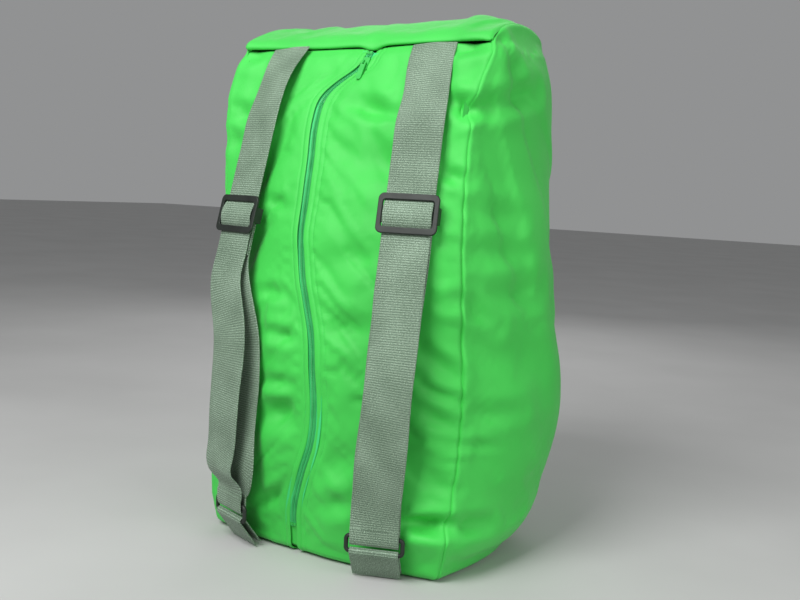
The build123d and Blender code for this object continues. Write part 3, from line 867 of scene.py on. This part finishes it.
def lid_panel(lid):
    """The top panel, which puffs out over the back's top edge."""
    up, across = run_along(lid[:, NB // 2]), run_along(lid[NS // 2])
    from_back, from_left = span(0, up[-1], 3.4), span(0, across[-1], 3.4)
    rows = np.interp(from_back, up, np.arange(NS + 1))
    cols = np.interp(from_left, across, np.arange(NB + 1))
    p = lift_top(refine(lid, rows, cols))
    side_away = np.minimum(from_left, across[-1] - from_left)[None] + 0 * p[..., 0]
    back_away = from_back[:, None] + 0 * side_away
    front_away = (up[-1] - from_back)[:, None] + 0 * side_away
    x = p[..., 0]
    puff = (1 - np.exp(-back_away / 3.5)) * bell(back_away, 36)
    size = 7.0 + 1.5 * noise(p * (1, .1, .1), 40, 41) + 4.0 * smooth(x, 105, 125) * (1 - smooth(x, 138, 148))
    p[..., 1] -= size * puff
    p[..., 2] -= 2.2 * bell(back_away, 10) + 5.0 * bell(x - 12, 11) * bell(back_away, 12)
    normal = grid_normals(p)
    depth = seam_profile(side_away) + 0.4 * seam_profile(back_away) + seam_profile(front_away)
    depth += 0.8 * puckers(p * (1, .15, .15), back_away, 43) + 0.6 * puckers(p * (.15, 1, .15), side_away, 45)
    depth += noise(p, 45, 47) * 1.2 * smooth(side_away, 5, 40) * smooth(back_away, 3, 25)
    return p - normal * depth[..., None]


def base_panel(base):
    """The sewn flat bottom, which lies on the floor."""
    rows, cols = np.linspace(0, NS, 2 * NS + 1), np.linspace(0, NB, 2 * NB + 1)
    p = refine(base, rows, cols)[:, ::-1]
    p[..., 2] = np.maximum(0.05, p[..., 2])
    return p


wall, lid, base = rest_shape()
points, faces, ids = welded(wall, lid, base)
settled = simulate(points, faces, ids)
wall, lid, base = settled[ids[0]], settled[ids[1]], settled[ids[2]]
wall[..., 2] = np.maximum(wall[..., 2], 0.0)

back_points = {side_name: back_panel(side, wall) for side_name, side in SIDES.items()}
SHEETS = {}
for name, node, grid in (("back_cloth_left", "back_panel_left", back_points["left"][0]),
                         ("back_cloth_right", "back_panel_right", back_points["right"][0]),
                         ("wrap_cloth", "front_panel", wrap_panel(wall)),
                         ("lid_cloth", "top_panel", lid_panel(lid)),
                         ("base_cloth", "bottom_panel", base_panel(base))):
    SHEETS[name] = cloth_panel(name, grid)
    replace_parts(SHEETS[name], node)


# ---- zip
def chain(z_low, z_high, step):
    """Points down the middle of the chain at the zip arc, with its along, outward and side directions."""
    z = np.arange(z_low, z_high, step)
    line = np.stack([zip_curve(z), zip_y(z), z], -1)
    along = heading(line)
    angle = np.arcsin((z - ARC_Z) / ARC_R)
    outward = np.stack([0 * z, -np.cos(angle), np.sin(angle)], -1)
    side = unit(np.cross(outward, along)) * -1
    return line, along, outward, side


def zip_tape(side):
    """One half of the tape, a flat strip behind the coil."""
    line, _, outward, across = chain(ZIP_LOW_Z, ZIP_HIGH_Z, 3.0)
    reach = np.array((0.4, 3.2, 4.6, 10)) * side
    drop = np.array((2.2, 2.2, 1.4, 1.4))      # the tape steps up against the panel's folded edge
    if side < 0:
        reach, drop = reach[::-1], drop[::-1]
    reach, drop = reach[None, :, None], drop[None, :, None]
    outer = line[:, None] - outward[:, None] * drop + across[:, None] * reach
    return slab(outer, outer - outward[:, None] * 0.8, grid_uv(outer))


def zip_coil(side):
    """The turns of one coil, and the thread sewn along them."""
    line, along, outward, across = chain(ZIP_LOW_Z + 1, ZIP_HIGH_Z - 1, 1.6)
    pieces = []
    shift = 0.4 * side
    profile = ((0.35, -1.5), (0.7, -0.75), (1.6, -0.35), (2.5, -0.5), (3.1, -1.4))
    for centre, ahead, out, right in zip(line, along, outward, across):
        turn = [centre + right * side * r + out * (d - 0.62) + ahead * (shift + 0.12 * r) for r, d in profile]
        pieces.append(tube(turn, 0.6, sides=6))
    thread = line + across * side * 1.9 - outward * 0.55
    pieces.append(tube(thread[::2], 0.35, sides=5))
    return merged(pieces)


for side_name, side in SIDES.items():
    points, faces, uv = zip_tape(side)
    tape = add_object(f"tape_{side_name}", points, faces, "bag", TAPE, uv)
    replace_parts(tape, f"zip_tape_{side_name}")
    points, faces = zip_coil(side)
    coil = add_object(f"coil_{side_name}", points, faces, "bag", COIL)
    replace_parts(coil, f"zip_coil_{side_name}")


def foot_patch(wall):
    """Plain fabric behind the slot under the zip's lower end."""
    z = np.linspace(0, 33, 12)
    rows = z / ROW_PITCH
    half = station_curve(z)[:, 0]
    x = zip_curve(z)[:, None] + np.linspace(-9, 9, 9)[None]
    p = refine(wall[:, :NB + 1], rows, (1 + x / half[:, None]) * NB / 2)
    return p - grid_normals(p) * 2.4


patch = cloth_panel("foot_patch", foot_patch(wall), thickness=0.8)
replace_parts(patch, "zip_foot_patch")


def stitch_rows():
    """The thread of the topstitching beside the zip."""
    pieces = []
    for side_name, side in SIDES.items():
        grid, away = back_points[side_name]
        normal = grid_normals(grid)
        for place in STITCH_ROWS[side]:
            pick = np.argmin(np.abs(away[len(away) // 2] - place))
            pieces.append(stitch_bars(grid[7:-7, pick], normal[7:-7, pick]))
    return merged(pieces)


points, faces = stitch_rows()
add_object("zip_stitching", points, faces, "bag", THREAD)


# ---- straps
def turned(vector, yaw):
    """A vector turned about Z by an angle in degrees."""
    a = math.radians(yaw)
    x, y, z = vector
    return np.array((x * math.cos(a) - y * math.sin(a), x * math.sin(a) + y * math.cos(a), z))


def on_side(side, point):
    """A point of the right half, or its mirror image on the left."""
    return np.array((side * point[0], *point[1:]))


def up_strap(side):
    """Unit vector up a strap's straight stretch."""
    lean = math.radians(LEAN)
    return turned((0, math.sin(lean), math.cos(lean)), side * ADJ_YAW)


def at_adjuster(side, local):
    """A point given about the adjuster's centre: across, inwards and up the strap."""
    lean = math.radians(LEAN)
    x, y, z = local
    z += ADJ_SET[side]
    leaned = (x, y * math.cos(lean) + z * math.sin(lean), z * math.cos(lean) - y * math.sin(lean))
    return on_side(side, ADJ_POINT) + turned(leaned, side * ADJ_YAW)


def ring_bar(side, level):
    """Centre of the ring's upper (+1) or lower (-1) bar."""
    return on_side(side, RING_POINT) + (0, 0, level * RING_HALF)


def even_line(points, yaws, step=4.0, ease=True):
    """A smooth line through points, evenly spaced, with the yaw at each place."""
    points, yaws = np.array(points, float), np.array(yaws, float)
    run = run_along(points)
    data = np.column_stack([points, yaws])
    curve = natural_spline(run, data) if ease else \
        (lambda t: np.stack([np.interp(t, run, data[:, k]) for k in range(4)], -1))
    fine = curve(np.linspace(0, run[-1], 600))
    length = run_along(fine[:, :3])
    at = np.linspace(0, length[-1], max(4, int(length[-1] / step)))
    fine = np.stack([np.interp(at, length, fine[:, k]) for k in range(4)], -1)
    return fine[:, :3], fine[:, 3]


def webbing(name, line, yaws, body=None, cup=0.0, seed=0, ripple=0.35):
    """A webbing strip along a line, facing out to -Y where its line goes down."""
    along = heading(line)
    angle = np.radians(yaws)
    across = np.stack([np.cos(angle), np.sin(angle), 0 * angle], -1)
    across = unit(across - along * np.sum(across * along, -1, keepdims=True))
    normal = unit(np.cross(along, across))
    places = np.concatenate([[-1, -.985, -.95, -.9], np.linspace(-.8, .8, 15), [.9, .95, .985, 1]])
    thick = np.interp(np.abs(places), (0, .86, .93, .975, 1), (1, 1, 1.12, .95, .3)) * WEB_T / 2
    centre = line[:, None] + across[:, None] * (places * WEB / 2)[None, :, None]
    bow = cup * (places ** 2)[None] + 0 * centre[..., 0]
    bow += ripple * noise(centre * (1, 1, .9), 26, 60 + seed)
    centre += normal[:, None] * bow[..., None]
    front = centre + normal[:, None] * thick[None, :, None]
    back = centre - normal[:, None] * thick[None, :, None]
    uv = np.stack(np.broadcast_arrays((places * WEB / 2)[None], run_along(line)[:, None]), -1) * MM
    points, faces, uv = slab(front, back, uv)
    return add_object(name, points, faces, body, WEBBING, uv)


# the straps' routes; 1 is the right strap and -1 the left one, and X counts from the middle of the bag
HEAD_RUN = ((541.0, -1.2), (528.0, 1.6), (510.0, 2.0), (488.0, 3.4))   # height, gap to the back
HEAD_X = {1: 86.0, -1: 91.0}
HEAD_YAW = {1: 3.0, -1: 17.0}      # how far the webbing turns to lie on the back near its top
STRETCH = 84.0          # half of the straight stretch that the adjuster slides on
FRONT_RUN = {           # under that stretch: X, Y, Z and yaw
    1: ((110.5, -156.0, 238.0, 8.0), (110.8, -163.0, 194.0, 9.0), (107.5, -160.0, 158.0, 12.0),
        (100.5, -153.5, 108.0, 17.0)),
    -1: ((92.5, -155.5, 238.0, 10.0), (91.0, -160.0, 180.0, 13.0), (94.0, -159.0, 137.0, 15.0),
         (98.5, -156.0, 105.0, 17.0), (100.5, -152.5, 80.0, 19.0))}
RETURN_RUN = {
    1: ((101.0, -141.0, 240.0, 12.0), (98.0, -143.0, 175.0, 14.0), (92.0, -141.0, 120.0, 18.0)),
    -1: ((86.0, -142.5, 240.0, 8.0), (79.5, -143.0, 175.0, 13.0), (79.0, -146.0, 120.0, 16.0),
         (82.0, -145.0, 82.0, 16.0))}
RETURN_SPLIT_Z = 185.0  # where the return run is cut in two, so that each part blends by itself
SHOWN_LEG = 9.0         # the fold's legs, up to where the two runs spread apart
FOLD_HANG = 2.8         # how far the fold hangs under the ring's upper bar, in radii
HUMP_HALF = 13.4        # half height of the hump in the adjuster's window
RING_REACH = RING_BAR_R + 0.2 + WEB_T / 2      # from a ring bar's axis to the middle of the webbing round it


def head_y(x, z, yaw):
    """Y at which a turned strap just clears the back panel over its whole width."""
    swing = WEB / 2 * math.sin(math.radians(yaw))
    half = station_curve(z)[0]
    places = (x - WEB / 2, x, x + WEB / 2)
    shifts = (swing, 0, -swing)
    return min(float(back_xy(np.array(p / half), np.array(z))[1]) + s for p, s in zip(places, shifts))


def down_to_ring(side, points, yaws, stops, reach):
    """A run's line through its first points and its stops, and into the ring fold, reach from the bar."""
    for x, y, z, yaw in stops:
        points.append((side * x, y, z))
        yaws.append(side * yaw)
    for above in (SHOWN_LEG + 7, SHOWN_LEG - 1):
        points.append(ring_bar(side, 1) + turned((0, reach, above), side * RING_YAW))
        yaws.append(side * RING_YAW)
    return even_line(points, yaws)


def front_run(side):
    """The front run of a strap, from the top seam through the adjuster to the ring fold."""
    middle, up = on_side(side, ADJ_POINT), up_strap(side)
    high = middle + up * STRETCH
    points, yaws = [], []
    for z, gap in HEAD_RUN:
        share = (BACK_TOP_Z - z) / (BACK_TOP_Z - high[2])
        x = HEAD_X[side] + (abs(high[0]) - HEAD_X[side]) * share
        yaw = HEAD_YAW[side] * (0.35 + 0.65 * smooth(share, 0, 0.5))
        points.append((side * x, head_y(x, z, yaw) - 1.5 - gap, z))
        yaws.append(side * yaw)
    for place in np.linspace(STRETCH, -STRETCH, 9):
        points.append(middle + up * place)
        yaws.append(side * ADJ_YAW)
    return down_to_ring(side, points, yaws, FRONT_RUN[side], -RING_REACH)


def return_run(side):
    """The return run, from under the adjuster's end loop down behind the front run to the ring fold."""
    points = [at_adjuster(side, (0, BAR_Y + BAR_T / 2 + WEB_T, -BAR_H / 2 - LOOP_TAIL + d)) for d in (9, -3)]
    yaws = [side * ADJ_YAW] * 2
    return down_to_ring(side, points, yaws, RETURN_RUN[side], RING_REACH)


def u_line(leg, hang=1.0):
    """A line down the front of a ring bar, round under it and up its back, as (inwards, up) pairs."""
    turn = np.linspace(0, math.pi, 13)
    bend = [(-RING_REACH * math.cos(a), -RING_REACH * hang * math.sin(a)) for a in turn]
    front = [(-RING_REACH, z) for z in np.linspace(leg, 2, 6)]
    back = [(RING_REACH, z) for z in np.linspace(2, leg, 6)]
    return front + bend + back


def path_strip(name, points, yaw, body, seed):
    """A webbing strip along a path that may turn back on itself; its across direction is level."""
    line, yaws = even_line(points, [yaw] * len(points), step=1.2, ease=False)
    return webbing(name, line, yaws, body, seed=seed, ripple=0.0)


def loop_line():
    """The strap's sewn end, round the adjuster's centre bar, as (inwards, up) pairs."""
    centre, half = BAR_Y + BAR_T / 2, BAR_H / 2
    out, back = centre - BAR_T / 2 - 1.0, centre + BAR_T / 2 + 1.0
    low = -half - LOOP_TAIL
    return [(centre - 0.85, low), (centre - 0.85, -half - 3), (out, -half), (out, half - 1),
            (out + 1, half + .9), (back - 1, half + .9), (back, half - 1), (back, -half),
            (centre + 0.85, -half - 3), (centre + 0.85, low)]


def hump_line():
    """The front run's hump over the centre bar, as (inwards, up) pairs."""
    return [(-0.7 - 4.3 * math.cos(math.pi * z / 27.0) ** 0.8 if abs(z) < HUMP_HALF else -0.7, z)
            for z in np.linspace(HUMP_HALF, -HUMP_HALF, 19)]


for side_name, side in SIDES.items():
    ring_body, adjuster_body = f"ring_{side_name}", f"adjuster_{side_name}"
    bar_high, bar_low = ring_bar(side, 1), ring_bar(side, -1)

    line, yaws = front_run(side)
    strap = webbing(f"strap_front_run_{side_name}", line, yaws, seed=side, cup=-0.5)
    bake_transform(strap)
    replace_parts(strap, f"strap_front_{side_name}")

    line, yaws = return_run(side)
    half = int(np.argmin(np.abs(line[:, 2] - RETURN_SPLIT_Z)))
    upper = webbing(f"strap_return_upper_{side_name}", line[:half + 1], yaws[:half + 1], seed=4)
    lower = webbing(f"strap_return_lower_{side_name}", line[half:], yaws[half:], seed=4)
    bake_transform(upper)
    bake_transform(lower)
    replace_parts(upper, f"strap_return_{side_name}")

    fold = [bar_high + turned((0, y, z), side * RING_YAW) for y, z in u_line(SHOWN_LEG, FOLD_HANG)]
    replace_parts(path_strip(f"ring_fold_{side_name}", fold, side * RING_YAW, ring_body, 5),
                f"strap_fold_{side_name}")

    run = turned(on_side(side, TAB_FOOT) - bar_low, -side * RING_YAW)
    lean = math.atan2(run[1], -run[2])
    leg = math.hypot(run[1], run[2])
    tab = []
    for y, z in u_line(leg):
        down = (0, y * math.cos(lean) + z * math.sin(lean), y * math.sin(lean) - z * math.cos(lean))
        tab.append(bar_low + turned(down, side * RING_YAW))
    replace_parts(path_strip(f"ring_tab_web_{side_name}", tab, side * RING_YAW, "bag", 6),
                f"ring_tab_{side_name}")

    loop = [at_adjuster(side, (0, y, z)) for y, z in loop_line()]
    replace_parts(path_strip(f"adjuster_loop_{side_name}", loop, side * ADJ_YAW, adjuster_body, 7),
                f"strap_end_loop_{side_name}")
    hump = [at_adjuster(side, (0, y, z)) for y, z in hump_line()]
    path_strip(f"adjuster_hump_{side_name}", hump, side * ADJ_YAW, adjuster_body, 8)


# ---- carried-over CAD nodes
def repaint(nodes, material):
    for name in nodes:
        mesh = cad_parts[name].data
        mesh.materials.clear()
        mesh.materials.append(material)


repaint([f"strap_adjuster_{s}" for s in SIDES] + [f"strap_ring_{s}" for s in SIDES], BUCKLE)
repaint(["zip_slider", "zip_pull", "zip_stop_top", "zip_stop_bottom"], ENAMEL)
repaint(["rope_tie_loop"], WEBBING)


# ---- binding tape inside the seams
def seam_binding(place, line):
    """Tape folded over the raw edges inside one seam of the wall, along a line beside the seam."""
    inward = -flat_outward(line[:, 0], line[:, 1])
    spread = unit(np.cross(heading(line), inward))[:, None]
    reach = np.linspace(-4, 4, 7)[None, :, None]
    inward = inward[:, None]
    outer = line[:, None] + inward * BINDING_DEPTH + spread * reach + inward * (np.abs(reach) * .25)
    points, faces, uv = slab(outer, outer + inward * 0.9, grid_uv(outer))
    tape = add_object(f"binding_{place}", points, faces, "bag", BINDING, uv)
    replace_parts(tape, f"seam_binding_{place}")


BINDING_DEPTH = 10.5    # from the seam to the middle of its binding
top_row = np.concatenate([wall[-1], wall[-1, :1]]) - (0, 0, 15.0)
for place, line in (("left", wall[3:-3, 0]), ("right", wall[3:-3, NB]), ("top_back", top_row[2:NB - 1]),
                    ("top_front", top_row[NB + 2:-2]), ("bottom", np.concatenate([wall[1], wall[1, :1]]))):
    seam_binding(place, line)


# ---- floor, light and camera
CAMERA_ANGLES = (30.64, 6.10, 2.92)    # turned about Z, tipped down, rolled, in degrees
CAMERA_AIM = (.0233, 0, .2691)
CAMERA_DISTANCE = 1.124


def floor():
    """A plain pale floor."""
    f = Finish("pale_floor")
    f.set(colour=f.ramp(f.noise(3.0, 3.0), [(0.3, (.46, .46, .455)), (0.7, (.50, .50, .495))]), roughness=0.8)
    reach = 12000.0
    corners = [(-reach, -reach, 0), (reach, -reach, 0), (reach, reach, 0), (-reach, reach, 0)]
    add_object("floor", corners, [(0, 1, 2, 3)], None, f.material)


def placed(name, data, right, up, back, place):
    """An object for a light's or camera's data, from its axes and its place."""
    pose = np.eye(4)
    for column, axis in enumerate((right, up, back, place)):
        pose[:3, column] = axis
    obj = bpy.data.objects.new(name, data)
    obj.matrix_world = Matrix(pose.tolist())
    bpy.context.scene.collection.objects.link(obj)
    return obj


def area_light(name, place, aim, size, power):
    """A soft square light at a place, aimed at a point."""
    data = bpy.data.lights.new(name, "AREA")
    data.size, data.energy = size, power
    back = unit(np.array(place, float) - np.array(aim, float))
    right = unit(np.cross((0, 0, 1), back))
    placed(name, data, right, np.cross(back, right), back, place)


def camera():
    """The camera, a little above the bag's middle, to the right of its back."""
    turn, tip, roll = (math.radians(a) for a in CAMERA_ANGLES)
    back = np.array((math.sin(turn) * math.cos(tip), -math.cos(turn) * math.cos(tip), math.sin(tip)))
    right = np.array((math.cos(turn), math.sin(turn), 0))
    up = np.cross(back, right)
    data = bpy.data.cameras.new("camera")
    data.lens, data.sensor_width = 45.0, 36.0
    bpy.context.scene.camera = placed(
        "camera", data, right * math.cos(roll) + up * math.sin(roll),
        up * math.cos(roll) - right * math.sin(roll), back, np.array(CAMERA_AIM) + back * CAMERA_DISTANCE)


floor()
area_light("key", (-.10, -1.40, 1.62), (0, 0, .30), 1.0, 40)
area_light("fill", (1.9, -.6, .9), (0, 0, .28), 1.2, 14)
area_light("back", (-.8, 1.6, 1.2), (0, 0, .30), 1.2, 7)
world = bpy.data.worlds.new("world")
world.use_nodes = True
background = world.node_tree.nodes["Background"]
background.inputs["Color"].default_value = (.86, .87, .88, 1)
background.inputs["Strength"].default_value = 0.33
bpy.context.scene.world = world
bpy.context.scene.view_settings.view_transform = "Standard"
camera()
